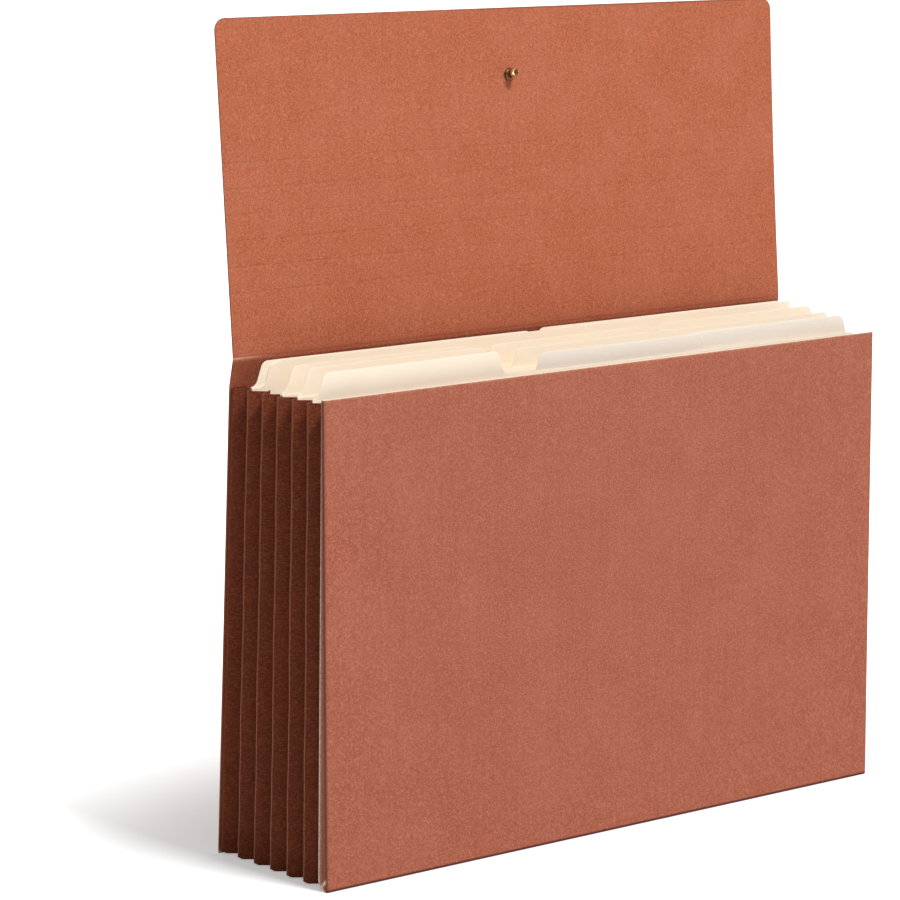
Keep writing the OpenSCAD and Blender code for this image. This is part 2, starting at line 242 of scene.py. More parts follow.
class Finish:
    """The nodes of a material, or of the studio's surroundings."""

    def __init__(self, owner):
        self.owner = owner
        owner.use_nodes = True
        self.tree = owner.node_tree
        self.tree.nodes.clear()

    def node(self, kind, sockets=None, output=0, **settings):
        """Adds a node, sets its settings first and then its sockets, and returns one of its outputs."""
        made = self.tree.nodes.new(kind)
        for key, value in settings.items():
            setattr(made, key, value)
        for key, value in (sockets or {}).items():
            if isinstance(value, Wire):
                self.tree.links.new(value.socket, made.inputs[key])
            else:
                made.inputs[key].default_value = value
        return Wire(self, made.outputs[output]) if made.outputs else None

    def maths(self, operation, first, second):
        return self.node("ShaderNodeMath", {0: first, 1: second}, operation=operation)

    def limited(self, value):
        """The value kept between 0 and 1."""
        return self.node("ShaderNodeClamp", {"Value": value})

    def ramp(self, value, low, high):
        """0 below low and 1 above high, with a smooth rise between them."""
        return self.node("ShaderNodeMapRange", {"Value": value, "From Min": low, "From Max": high},
                         interpolation_type="SMOOTHSTEP")

    def place(self):
        """The point's place on the wallet, in metres."""
        return self.node("ShaderNodeTexCoord", output="Object")

    def stretched(self, place, scale):
        """The place scaled by its own factor along each axis."""
        return self.node("ShaderNodeMapping", {"Vector": place, "Scale": scale})

    def noise(self, place, scale, detail=2.0, roughness=0.5):
        """A cloudy value about 0.5; the scale is in clouds to the metre."""
        return self.node("ShaderNodeTexNoise",
                         {"Vector": place, "Scale": scale, "Detail": detail, "Roughness": roughness})

    def mark(self, name):
        """A value that the mesh itself carries."""
        return self.node("ShaderNodeAttribute", output="Fac", attribute_name=name)

    def layered(self, body, *layers):
        """Colours laid over a body one after another, each as far as its own mask lets it show."""
        for mask, tint in layers:
            first, second = (c if isinstance(c, Wire) else (*c, 1.0) for c in (body, tint))
            body = self.node("ShaderNodeMix", {0: mask, 6: first, 7: second}, 2, data_type="RGBA")
        return body

    def bump(self, height, distance, strength):
        return self.node("ShaderNodeBump",
                         {"Height": height, "Distance": distance, "Strength": strength}, "Normal")

    def surface(self, **sockets):
        """Ends the material with one Principled shader; underscores in a socket's name stand for spaces."""
        named = {key.replace("_", " "): value for key, value in sockets.items()}
        shader = self.node("ShaderNodeBsdfPrincipled", named)
        self.node("ShaderNodeOutputMaterial", {"Surface": shader})
        return self.owner


def board_finish(name, ground, colours):
    """Pressed board: millimetre fibres, faint clouds and streaks, pale worn edges, painted shade on the hems, cut
    edges, bends, score lines and neck, and painted highlights along the front's top edge and the flap's crease.
    """
    finish = Finish(bpy.data.materials.new(name))
    place = finish.place()
    fibre = finish.noise(finish.stretched(place, (1.0, 1.0, 1.1)), 1000.0, detail=4.0, roughness=0.72)
    speck = finish.noise(place, 2300.0, detail=1.0)
    cloud = finish.noise(place, 30.0, detail=3.0, roughness=0.6)
    streak = finish.noise(finish.stretched(place, (1.0, 1.0, 0.03)), 420.0)
    grain = fibre + 0.65 * (speck - 0.5)
    uneven = fibre - 0.5
    body = finish.layered(
        ground,
        (0.52 * finish.ramp(grain, 0.53, 0.34), colours.fleck_dark),
        (0.5 * finish.ramp(grain, 0.52, 0.7), colours.fleck_pale),
        (0.1 * finish.ramp(cloud, 0.3, 0.75), colours.fleck_pale),
        (0.08 * finish.ramp(streak, 0.62, 0.3), colours.fleck_dark),
        # Painted shade at the front's bend and foot, in the score lines and on the neck.
        (finish.limited(finish.mark("groove")), colours.groove),
        # Painted shade on the hems and on the cut edges of the back and flap.
        (finish.mark("hem") * (0.75 - 0.8 * uneven), colours.hem),
        (finish.limited(finish.mark("worn") * (0.9 + 3.5 * uneven)), colours.raw_edge),
        (finish.limited(finish.mark("scuff") * finish.ramp(fibre, 0.3, 0.55)), colours.raw_edge),
        (finish.mark("raw") * (0.75 + 0.4 * uneven), colours.raw_edge),
    )
    return finish.surface(Base_Color=body, Roughness=0.74 + 0.2 * uneven, Specular_IOR_Level=0.2,
                          Normal=finish.bump(fibre + 0.5 * speck, 0.12 * MM, 0.5))


def gusset_finish(colours):
    """Dark cloth with fine level ribs, worn pale along the ridges, with slightly paler cut ends."""
    finish = Finish(bpy.data.materials.new("gusset_cloth"))
    place = finish.place()
    fibre = finish.noise(finish.stretched(place, (0.5, 0.5, 1.6)), 760.0, detail=3.0, roughness=0.65)
    speck = finish.noise(finish.stretched(place, (0.8, 0.8, 1.2)), 1000.0, detail=1.0)
    cloud = finish.noise(place, 90.0, detail=3.0, roughness=0.6)
    weave = {"Vector": place, "Scale": 300.0, "Distortion": 3.5, "Detail": 3.0, "Detail Scale": 2.0}
    rib = finish.node("ShaderNodeTexWave", weave, "Fac", bands_direction="Z", wave_profile="SIN")
    grain = fibre + 0.9 * (speck - 0.5)
    uneven = fibre - 0.5
    worn = finish.limited(finish.mark("ridge") * (0.8 + 1.2 * uneven))
    body = finish.layered(
        colours.gusset,
        (0.6 * finish.ramp(grain, 0.58, 0.3), colours.gusset_dark),
        (0.5 * finish.ramp(grain, 0.52, 0.75), colours.gusset_pale),
        (0.2 * finish.ramp(cloud, 0.45, 0.75), colours.gusset_pale),
        (0.14 * rib, colours.gusset_pale),
        (0.65 * worn, colours.gusset_worn),
        (0.1 * finish.mark("raw"), colours.gusset_worn),
    )
    return finish.surface(Base_Color=body, Roughness=0.78 + 0.2 * uneven, Specular_IOR_Level=0.2,
                          Normal=finish.bump(0.5 * rib + grain, 0.06 * MM, 0.4))


def card_finish(name, ground, colours):
    """Smooth card with long faint fibres, a paler cut edge, and a painted highlight along the top of each leaf."""
    finish = Finish(bpy.data.materials.new(name))
    place = finish.place()
    fibre = finish.noise(finish.stretched(place, (0.35, 1.0, 1.0)), 900.0, detail=3.0, roughness=0.6)
    cloud = finish.noise(place, 24.0)
    cut_edge_and_highlight = finish.limited(finish.mark("raw") + finish.mark("rim"))
    body = finish.layered(
        ground,
        (0.25 * finish.ramp(fibre, 0.35, 0.7), colours.folder_edge),
        (0.15 * finish.ramp(cloud, 0.4, 0.7), colours.folder_deep),
        (0.85 * cut_edge_and_highlight, colours.folder_edge),
    )
    return finish.surface(Base_Color=body, Roughness=0.6 + 0.15 * (fibre - 0.5), Specular_IOR_Level=0.3,
                          Normal=finish.bump(fibre, 0.03 * MM, 0.4))


def brass_finish(colours):
    """Polished brass with faint tarnish; the eyelet, the collar, the back of the ball and the hollow of its end
    are dulled and darkened, as a painted reflection of the board and painted shade.
    """
    finish = Finish(bpy.data.materials.new("polished_brass"))
    tarnish = finish.noise(finish.place(), 900.0, detail=3.0, roughness=0.6)
    dull = finish.limited(0.45 * finish.ramp(tarnish, 0.45, 0.7) + finish.mark("dull"))
    body = finish.layered(colours.brass, (dull, colours.brass_dark))
    return finish.surface(Base_Color=body, Metallic=1.0, Roughness=0.14 + 0.2 * dull)


def smooth(value):
    """The smooth step from 0 to 1, for arrays."""
    t = np.clip(value, 0, 1)
    return t * t * (3 - 2 * t)


def unit(vectors):
    """Vectors brought to a length of 1."""
    return vectors / np.maximum(np.linalg.norm(vectors, axis=-1, keepdims=True), 1e-12)


def make_piece(name, points, faces, finish, marks):
    """Puts a mesh into the scene: marks maps a name to values for each point or each face."""
    mesh = bpy.data.meshes.new(name)
    mesh.from_pydata(points.tolist(), [], faces)
    for key, values in marks.items():
        domain = "POINT" if len(values) == len(points) else "FACE"
        mesh.attributes.new(key, "FLOAT", domain).data.foreach_set("value", np.asarray(values, np.float32))
    mesh.polygons.foreach_set("use_smooth", np.ones(len(faces), bool))
    mesh.set_sharp_from_angle(angle=radians(40))
    mesh.materials.append(finish)
    piece = bpy.data.objects.new(name, mesh)
    bpy.context.scene.collection.objects.link(piece)
    return piece


def sheet_piece(name, middle, thickness, finish, marks=None, cut=None, edge="raw"):
    """A closed sheet: the middle grid moved out and in along its normals, and walls along every open edge.

    A normal is the cross product of the grid's differences along rows and columns. thickness is one number,
    or a pair of grids for the parts outside and inside the middle. cut marks the quads that are left out,
    marks are grids of values for both faces or a pair of grids, and edge is the mark of the cut edges.
    """
    rows, columns = middle.shape[:2]
    count = rows * columns
    normals = unit(np.cross(np.gradient(middle, axis=0), np.gradient(middle, axis=1)))
    sides = thickness if isinstance(thickness, tuple) else (thickness / 2, thickness / 2)
    outer, inner = (np.broadcast_to(side, (rows, columns))[..., None] for side in sides)
    points = np.concatenate([middle + normals * outer, middle - normals * inner]).reshape(-1, 3)
    index = np.arange(count).reshape(rows, columns)
    quads = np.stack([index[:-1, :-1], index[1:, :-1], index[1:, 1:], index[:-1, 1:]], -1).reshape(-1, 4)
    if cut is not None:
        quads = quads[~cut.ravel()]
    starts = quads.ravel()
    ends = np.roll(quads, -1, axis=1).ravel()
    open_edge = ~np.isin(starts * count + ends, ends * count + starts)
    starts, ends = starts[open_edge], ends[open_edge]
    walls = np.stack([ends, starts, starts + count, ends + count], -1)
    faces = np.concatenate([quads, quads[:, ::-1] + count, walls])
    used, faces = np.unique(faces, return_inverse=True)
    faces = faces.reshape(-1, 4)
    values = {key: np.broadcast_to(grid, (2, rows, columns)).ravel()[used]
              for key, grid in (marks or {}).items()}
    values[edge] = np.arange(len(faces)) >= 2 * len(quads)
    return make_piece(name, points[used], faces.tolist(), finish, values)


def spread(start, end, step, *dense):
    """Places from start to end, a step apart, and closer together round each dense (place, reach, step)."""
    places = np.linspace(start, end, max(2, round((end - start) / step) + 1))[1:-1]
    close = []
    for at, reach, fine in dense:
        places = places[abs(places - at) > reach]
        close.append(at + fine * np.arange(-round(reach / fine), round(reach / fine) + 1))
    places = np.concatenate([[start], places, *close, [end]])
    return np.unique(places[(places >= start) & (places <= end)].round(7))


def fold_line(name):
    """A fold's place and the direction of its axis."""
    fold = FOLDS[name]
    return np.array(fold["pos_m"]), np.array(fold["axis"], float)


def leaf_name(side, number):
    return f"{side}_leaf_{number:02d}"


def leaf_fold(side, number):
    """The fold line of a gusset leaf."""
    return fold_line(f"{leaf_name(side, number)}_fold")


def behind(axis):
    """The direction towards the back that is square to a leaning line."""
    return np.array([0, axis[2], -axis[1]])


class BoardLine:
    """The line of the back and the flap, across the wallet, by distance past the crease.

    Its heading turns smoothly at the neck's bend and at the crease, and the line is the running sum of it.
    """

    def __init__(self, sizes):
        crease, lower, upper = (fold_line(name)[0] for name in ("flap_crease", "shoulder_fold", "tip_fold"))
        axis = leaf_fold("left", 2 * PLEATS)[1]
        back_turn = atan2(axis[1], axis[2])
        bend_z = PANEL_HEIGHT - sizes.gusset_drop
        bend_y = BACK_HIGH[1] - sizes.board / 2 / cos(back_turn) + bend_z * tan(back_turn)
        neck_turn = atan2(crease[1] - bend_y, crease[2] - bend_z)
        flap_turn = atan2(upper[1] - crease[1], upper[2] - crease[2])
        neck = float(np.hypot(crease[1] - bend_y, crease[2] - bend_z))
        neck_bend = 6 * MM
        crease_bend = 2.4 * MM
        self.foot = -neck - bend_z / cos(back_turn)
        self.top = (TIP_HIGH[2] - crease[2]) / cos(flap_turn) - sizes.board / 2 * tan(abs(flap_turn))
        self.folds = [float(np.linalg.norm(line - crease)) for line in (lower, upper)]
        step = self.folds[1] - self.folds[0]
        self.scores = self.folds[0] + step * (np.arange(sizes.score_count) - sizes.scores_below)
        self.places = np.arange(self.foot - 2 * MM, self.top + 2 * MM, 0.05 * MM)
        past_bend = smooth((self.places + neck + neck_bend / 2) / neck_bend)
        past_crease = smooth((self.places + crease_bend / 2) / crease_bend)
        heading = back_turn + (neck_turn - back_turn) * past_bend + (flap_turn - neck_turn) * past_crease
        steps = np.stack([np.sin(heading), np.cos(heading)], -1) * (self.places[1] - self.places[0])
        self.line = np.cumsum(steps, axis=0)
        self.line += crease[1:] - self.line[np.argmin(abs(self.places))]

    def at(self, distance):
        """The line's y and z at a distance past the crease."""
        y, z = self.line.T
        return np.interp(distance, self.places, y), np.interp(distance, self.places, z)

    def point(self, distance):
        """The line's place in the middle of the wallet's width."""
        return (0.0, *(float(part) for part in self.at(distance)))


def hem_depth(z, sizes):
    """Depth of the side hems at a height."""
    return sizes.hem_base + (sizes.hem_top - sizes.hem_base) * z / PANEL_HEIGHT


def stroke(across, up, start, end, width):
    """1 on a short straight stroke between two places and falling off within its width."""
    run = np.array(end) - np.array(start)
    share = np.clip(((across - start[0]) * run[0] + (up - start[1]) * run[1]) / (run @ run), 0, 1)
    off = np.hypot(across - start[0] - share * run[0], up - start[1] - share * run[1])
    return np.exp(-off ** 2 / width ** 2)


def front_marks(y, z, depth, bend):
    """Marks of the front: a pale raw edge and scuffs on the hem, painted shade on the hem and as dark lines at the
    bend and foot, and a painted highlight along the top edge.
    """
    on_hem = smooth((y - 0.6 * bend) / bend)
    low = smooth(1.15 - z / PANEL_HEIGHT)
    frayed = (0.4 + 0.5 * low) * MM
    worn = np.exp(-np.maximum(depth - y, 0) / frayed) * (0.3 + 0.9 * low)
    scuffs = MM * np.array([[(5.1, 2.8), (1.0, 6.7)], [(5.1, 2.8), (3.2, 0.6)], [(3.2, 3.4), (0.6, 5.7)]])
    scuff = sum(stroke(y, z, start, end, 0.45 * MM) for start, end in scuffs)
    # Painted highlight: the cut edge's pale colour carried onto the face as a bright line along the top edge.
    top_edge_highlight = np.exp(-(PANEL_HEIGHT - z) / (0.35 * MM))
    # Painted shade: dark lines along the foot and along the bend into the hem.
    foot = smooth((2.1 * MM - z) / (0.9 * MM))
    corner = np.exp(-((y - 1.25 * MM) / (0.5 * MM)) ** 2)
    # The hem mark is painted shade on the hem; the worn mark holds the hem's pale raw edge and the painted
    # highlight along the top edge.
    return {"hem": on_hem, "worn": worn * on_hem + 0.35 * top_edge_highlight, "scuff": scuff * on_hem,
            "groove": np.maximum(0.8 * corner, 0.9 * foot * (1 - on_hem))}


def front_sheet(sizes, finish):
    """The front with its side hems: a section of hem, bend, front, bend and hem carried up the height.

    Near the floor the section rolls back round the lower bend, and the hem's raw edge curves in to the
    corner. The front bellies forward a little.
    """
    board, bend = sizes.board, sizes.hem_bend
    middle_bend = bend - board / 2
    belly_depth = 0.5 * MM
    rolled_rows = bend - middle_bend * np.cos(np.linspace(0, np.pi / 2, 8))
    upright_rows = spread(bend, PANEL_HEIGHT, 4.5 * MM, (bend, 1.5 * sizes.hem_round, 0.4 * MM),
                          (PANEL_HEIGHT, 2 * MM, 0.25 * MM))[1:]
    z = np.concatenate([rolled_rows, upright_rows])[:, None]
    rise = np.clip(z / sizes.hem_round, 0, 1)
    shallow = bend + 0.2 * MM
    depth = shallow + (hem_depth(z, sizes) - shallow) * np.sqrt(1 - (1 - rise) ** 2)
    turn = np.linspace(0, np.pi / 2, 9)
    hem = np.linspace(1, 0, 25)[:-1]
    front_x = np.linspace(-1, 1, 72)[1:-1] * (HALF_WIDTH - bend)
    arc_x = HALF_WIDTH - bend + middle_bend * np.cos(turn)
    arc_y = bend - middle_bend * np.sin(turn)
    ones = np.ones_like(z)
    left_x = np.concatenate([(board / 2 - HALF_WIDTH) * np.ones(len(hem)), -arc_x])
    left_y = np.concatenate([bend + (depth - bend) * hem, arc_y * ones], 1)
    x = np.concatenate([left_x, front_x, -left_x[::-1]]) * ones
    y = np.concatenate([left_y, board / 2 * np.ones((len(z), len(front_x))), left_y[:, ::-1]], 1)
    rolled = middle_bend - np.sqrt(np.maximum(middle_bend ** 2 - np.maximum(bend - z, 0) ** 2, 0))
    y = board / 2 + np.hypot(y - board / 2, rolled)
    share = np.clip(z / PANEL_HEIGHT, 0, 1)
    belly = belly_depth * np.cos(np.pi * x / (2 * HALF_WIDTH)) * np.sin(np.pi * share * 0.8)
    middle = np.stack([x, FRONT_Y + y - belly, z * np.ones_like(x)], -1)
    piece = sheet_piece("front_sheet", middle, board, finish, front_marks(y, z, depth, bend))
    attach(piece, "front")
    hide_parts("front_panel")


def bottom_hem(sizes, finish):
    """The hem that turns in under the gusset: a flat strip with mitred ends."""
    bend = sizes.hem_bend
    y = np.linspace(bend - 0.1 * MM, sizes.hem_base, 10)[:, None]
    x = np.linspace(-1, 1, 60) * (HALF_WIDTH - 0.6 * MM - 0.5 * (y - bend))
    middle = np.stack([x, FRONT_Y + y * np.ones_like(x), np.full_like(x, sizes.board / 2)], -1)
    # The bottom hem is darkened all over: painted shade under the gusset.
    piece = sheet_piece("bottom_hem", middle, sizes.board, finish, {"hem": 1.0})
    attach(piece, "front")


def ringed_grid(x, d, eyelet, hole, ring, block):
    """Turns the grid's squares round the eyelet into rings, and marks the squares inside the hole."""
    square = np.maximum(abs(x), abs(d - eyelet))
    near = 1 - smooth((square - hole) / (block - hole))
    scale = 1 + near * (square / np.maximum(np.hypot(x, d - eyelet), ring / 2) - 1)
    inside = square < hole + ring / 4
    cut = inside[:-1, :-1] & inside[1:, 1:] & inside[:-1, 1:] & inside[1:, :-1]
    return x * scale, eyelet + (d - eyelet) * scale, cut


def board_strip(name, line, sizes, finish, low, high):
    """A strip of board from low to high past the crease: the board's line is carried across the width.

    Score lines are pressed into the inside as rounded grooves with a low bead behind them, and the board
    thins at the crease. The free corners are quarter circles, and the flap is slightly curled and skewed.
    """
    ring = sizes.eyelet_hole / 4
    block = 12 * ring
    eyelet = line.top - sizes.eyelet_drop
    ends = [(end, 3 * MM, 1 * MM) for end in (-HALF_WIDTH, HALF_WIDTH)]
    across = spread(-HALF_WIDTH, HALF_WIDTH, 4 * MM, (0, block, ring), *ends) / HALF_WIDTH
    dense = [(score, 1.6 * MM, 0.2 * MM) for score in (0.0, *line.scores)] + [(line.foot, 3 * MM, 0.5 * MM)]
    d = spread(low, high, 4 * MM, (eyelet, block, ring), *dense)
    corner_start = line.top - sizes.flap_corner
    if high > corner_start:
        turn = np.linspace(0, np.pi / 2, 12)
        d = np.concatenate([d[d < corner_start - 1 * MM], corner_start + sizes.flap_corner * np.sin(turn)])
    d = d[:, None]
    over = np.clip(d - corner_start, 0, sizes.flap_corner)
    half = HALF_WIDTH - sizes.flap_corner + np.sqrt(sizes.flap_corner ** 2 - over ** 2)
    x, d, cut = ringed_grid(*np.broadcast_arrays(across * half, d), eyelet, sizes.eyelet_hole, ring, block)
    y, z = line.at(d)
    rise = np.clip(d / line.top, 0, 1)
    side = x / HALF_WIDTH
    y = y - sizes.flap_curl * np.maximum(side, 0) ** 2 * rise ** 2
    z = z - sizes.flap_skew * side * rise
    press = np.exp(-((d[..., None] - line.scores) / sizes.score_width) ** 2).sum(-1) * (0.75 - 0.25 * side)
    thin = np.exp(-(d / (0.9 * MM)) ** 2)
    inner = sizes.board / 2 - sizes.score_depth * press - 0.2 * MM * thin
    outer = sizes.board / 2 + 0.5 * sizes.score_depth * press - 0.1 * MM * thin
    # Painted highlight: a pale line along the crease near the left end, carried by the worn mark.
    crease = 0.45 * np.exp(-((d - 0.3 * MM) / (0.45 * MM)) ** 2) * smooth(-5.7 - 6.7 * side)
    corner = np.exp(-((d - line.foot) / (1.5 * MM)) ** 2) * smooth((abs(x) - HALF_WIDTH) / (3 * MM) + 1)
    # Painted shade on the neck's inside face below the crease, and faintly in the score lines.
    neck = 0.3 * smooth(-d / (2 * MM))
    marks = {"groove": np.stack([0.06 * press, 0.06 * press + neck]), "worn": crease + corner}
    middle = np.stack([x, y, z], -1)
    # The cut edges carry the hem mark: painted shade on the board's edges.
    return sheet_piece(name, middle, (outer, inner), finish, marks, cut, edge="hem")


def flap_board(sizes, finish):
    """The back and the flap's three lengths, split just below the crease and the two folds."""
    line = BoardLine(sizes)
    lead = sizes.fold_blend
    low, high = line.folds
    splits = [fold - lead - 1 * MM for fold in (0.0, low, high)]
    back = board_strip("back_sheet", line, sizes, finish, line.foot + GAP, splits[0])
    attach(back, "back")
    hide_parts("back_panel")
    lengths = [("flap_lower_sheet", "flap_panel", "back", "flap", splits[0], splits[1], 0.0),
               ("flap_fold_sheet", "flap_shoulder", "flap", "shoulder", splits[1], splits[2], low),
               ("flap_end_sheet", "flap_tip", "shoulder", "tip", splits[2], line.top, high)]
    for name, node, below, above, start, end, fold in lengths:
        piece = board_strip(name, line, sizes, finish, start, end)
        line.point(fold - lead)
        line.point(fold + lead)
        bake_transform(piece)
        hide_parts(node)


def leaning(number):
    """1 for a leaf that leans back from its ridge, and -1 for one that leans forward."""
    return 1 if number % 2 else -1


def half_valley(side, number, height):
    """Half the distance between a leaf's fold line and the facing leaf's, at a height up the first."""
    place, axis = leaf_fold(side, number)
    far, far_axis = leaf_fold(side, number + leaning(number))
    here = place[1] + axis[1] * height
    there = far[1] + far_axis[1] * height
    return abs(there - here) / 2


def pleat_profile(sizes, valley, wall, tail):
    """A half pleat in the plane across its fold: distance inwards and distance sideways from the fold line.

    It runs flat along the ridge's wall from its tail, turns round the ridge bend on to the leaf's straight
    line through the fold, and turns round the valley bend until it lies square half way to the next ridge.
    """
    c, s = cos(sizes.pleat_angle), sin(sizes.pleat_angle)
    bend, hollow = sizes.ridge_bend, sizes.valley_bend
    start = (wall + bend * (1 - s)) / c
    centre = start * s - bend * c
    turn = np.linspace(np.pi / 2, sizes.pleat_angle, 9)
    ones = np.ones_like(valley)
    strip = tail + (centre - tail) * np.linspace(0, 1, 5)[:-1] if tail is not None else ones[:, :0]
    end = (valley - hollow * c) / s
    along = start + (end - start) * (0.5 - 0.5 * np.cos(np.linspace(0, np.pi, 18)))[1:-1]
    curl = np.linspace(sizes.pleat_angle, np.pi / 2, 7)
    inwards = [wall + 0 * strip, (wall + bend - bend * np.sin(turn)) * ones, along * c,
               end * c - hollow * s + hollow * np.sin(curl)]
    sideways = [strip, (centre + bend * np.cos(turn)) * ones, along * s,
                end * s + hollow * c - hollow * np.cos(curl)]
    return np.concatenate(inwards, 1), np.concatenate(sideways, 1)


def handled(points, sizes):
    """Slow waves, the same for all cloth at one place, as handling leaves in a gusset."""
    x, y, z = np.moveaxis(points, -1, 0)
    long, short, fade_in = 0.093, 0.037, 0.02
    wave = np.sin(2 * np.pi * z / long + 90 * y) + 0.6 * np.sin(2 * np.pi * z / short - 150 * y + 40 * x)
    return points + np.stack([0 * x, sizes.pleat_wave * wave * np.clip(z / fade_in, 0, 1), 0 * z], -1)


def ridge_wall(sizes):
    """How far in from the fold lines a ridge's crest lies: below 0, because it is outside them."""
    c, s = cos(sizes.pleat_angle), sin(sizes.pleat_angle)
    return (sizes.ridge_bend * c - sizes.ridge_half) / s * c - sizes.ridge_bend * (1 - s)


def floor_wall(place, sizes):
    """How far in from a bottom fold line the cloth lies that rests just above the floor."""
    return sizes.cloth / 2 - place[2] + GAP


def pleat_rows():
    """Shares of a side pleat's height, closer together near the floor."""
    return np.concatenate([np.linspace(0, 0.08, 12)[:-1], np.linspace(0.08, 1, 40)])[:, None]


def pleat_height(inwards, sizes, both_ends):
    """Heights of a side pleat's grid, from its rounded lower corners to the gusset's top."""
    ends = [inwards - inwards.min(), inwards.max() - inwards][:2 if both_ends else 1]
    corner = sizes.pleat_corner
    lift = 0.35 * MM
    for gap in ends:
        lift = lift + corner * (1 - np.sqrt(1 - (1 - np.clip(gap / corner, 0, 1)) ** 2))
    return lift + pleat_rows() * (PANEL_HEIGHT - sizes.gusset_drop - lift)


def blend_pleat(piece, name, place, inward, lateral, sizes):
    """Bakes a half pleat's place into its mesh, and hides the imported leaf and, for an even leaf, its ridge."""
    leaf = cos(sizes.pleat_angle) * inward + sin(sizes.pleat_angle) * lateral
    lead = 0.8 * MM * leaf
    tuple(place - lead)
    tuple(place + lead)
    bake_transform(piece)
    number = int(name[-2:])
    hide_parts(name, *([f"gusset_ridge_{number // 2}"] if number % 2 == 0 else []))


def side_pleat(side, number, sizes, finish):
    """One half of a side pleat: the profile carried up its leaning fold line, with round lower corners."""
    name = leaf_name(side, number)
    place, axis = leaf_fold(side, number)
    inward = INWARD[side]
    lateral = behind(axis) * leaning(number)
    height = pleat_rows() * (PANEL_HEIGHT - sizes.gusset_drop)
    valley = half_valley(side, number, height)
    if number == 1:
        wall = abs(place[0]) - HALF_WIDTH + sizes.board + sizes.cloth / 2 + GAP
        tail = 0.65 * MM - hem_depth(height, sizes)
    else:
        wall, tail = ridge_wall(sizes), None
    inwards, sideways = pleat_profile(sizes, valley, wall, tail)
    height = pleat_height(inwards[0], sizes, True)
    middle = place + inwards[..., None] * inward + sideways[..., None] * lateral + height[..., None] * axis
    middle = handled(middle, sizes)
    from_crest = np.zeros_like(inwards)
    from_crest[:, 1:] = np.cumsum(np.hypot(np.diff(inwards, axis=1), np.diff(sideways, axis=1)), axis=1)
    worn = np.exp(-(from_crest / (0.25 * MM)) ** 2) * (1 < number < 2 * PLEATS)
    piece = sheet_piece(f"{name}_cloth", middle, sizes.cloth, finish, {"ridge": worn})
    blend_pleat(piece, name, place, inward, lateral, sizes)


def bottom_pleat(number, sizes, finish):
    """One half of a bottom pleat: the profile, flat on the floor along its ridge, carried across."""
    name = leaf_name("bottom", number)
    place = leaf_fold("bottom", number)[0]
    lateral = BACKWARD * leaning(number)
    half = float(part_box(name)[1][0])
    x = np.linspace(-half, half, 60)[:, None]
    valley = half_valley("bottom", number, 0 * x)
    tail = -sizes.ridge_half + 0 * x if number > 1 else None
    inwards, sideways = pleat_profile(sizes, valley, floor_wall(place, sizes), tail)
    middle = place + inwards[..., None] * UP + sideways[..., None] * lateral + x[..., None] * ACROSS
    piece = sheet_piece(f"{name}_cloth", middle, sizes.cloth, finish)
    blend_pleat(piece, name, place, UP, lateral, sizes)


def end_strip(side, sizes, finish):
    """The gusset's last strip, glued to the back: flat along the ridge, then turned in along the board."""
    place, axis = leaf_fold(side, 2 * PLEATS)
    inward = INWARD[side]
    lateral = BACKWARD if side == "bottom" else behind(axis)
    bend = 0.8 * MM
    run = sizes.ridge_half + sizes.cloth / 2 * cos(sizes.pleat_angle) - sizes.cloth / 2 - 0.02 * MM
    turn = np.linspace(0, np.pi / 2, 8)
    flat = np.linspace(0, run - bend, 4)[:-1]
    rise = np.linspace(bend, sizes.glue_strip, 8)[1:]
    inwards = np.concatenate([0 * flat, bend - bend * np.cos(turn), rise])
    sideways = np.concatenate([flat, run - bend + bend * np.sin(turn), np.full(len(rise), run)])
    if side == "bottom":
        half = float(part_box("bottom_leaf_12")[1][0])
        direction, wall = ACROSS, floor_wall(place, sizes)
        travel = np.linspace(-half, half, 60)[:, None] * np.ones(len(inwards))
    else:
        direction, wall = axis, ridge_wall(sizes)
        travel = pleat_height(inwards, sizes, False)
    start = place + lateral * sizes.ridge_half + inward * wall
    middle = start + inwards[:, None] * inward + sideways[:, None] * lateral + travel[..., None] * direction
    if side != "bottom":
        middle = handled(middle, sizes)
    piece = sheet_piece(f"{side}_end_strip", middle, sizes.cloth, finish)
    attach(piece, "back")


def tab_run(sizes):
    """How far in from its foot a tab's straight top starts."""
    rounds, lean = sizes.tab_foot + sizes.tab_corner, sizes.tab_lean
    return rounds * cos(lean) + (sizes.tab_height - rounds * (1 - sin(lean))) * tan(lean)


def tab_rise(gap, sizes):
    """Height of a tab by distance in from its foot: a round hollow, a straight lean and a round corner."""
    foot, corner, lean = sizes.tab_foot, sizes.tab_corner, sizes.tab_lean
    up = np.linspace(-np.pi / 2, -lean, 12)
    over = np.linspace(np.pi - lean, np.pi / 2, 12)
    across = np.concatenate([foot * np.cos(up), tab_run(sizes) + corner * np.cos(over)])
    height = np.concatenate([foot + foot * np.sin(up), sizes.tab_height - corner + corner * np.sin(over)])
    return np.interp(gap, across, height)


def tab_top(name):
    """The left and right ends of a tab's straight top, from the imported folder."""
    mesh = frame["nodes"][name].data
    points = np.array([vertex.co for vertex in mesh.vertices])
    top = points[points[:, 2] > points[:, 2].max() - 0.1 * MM, 0]
    return float(top.min()), float(top.max())


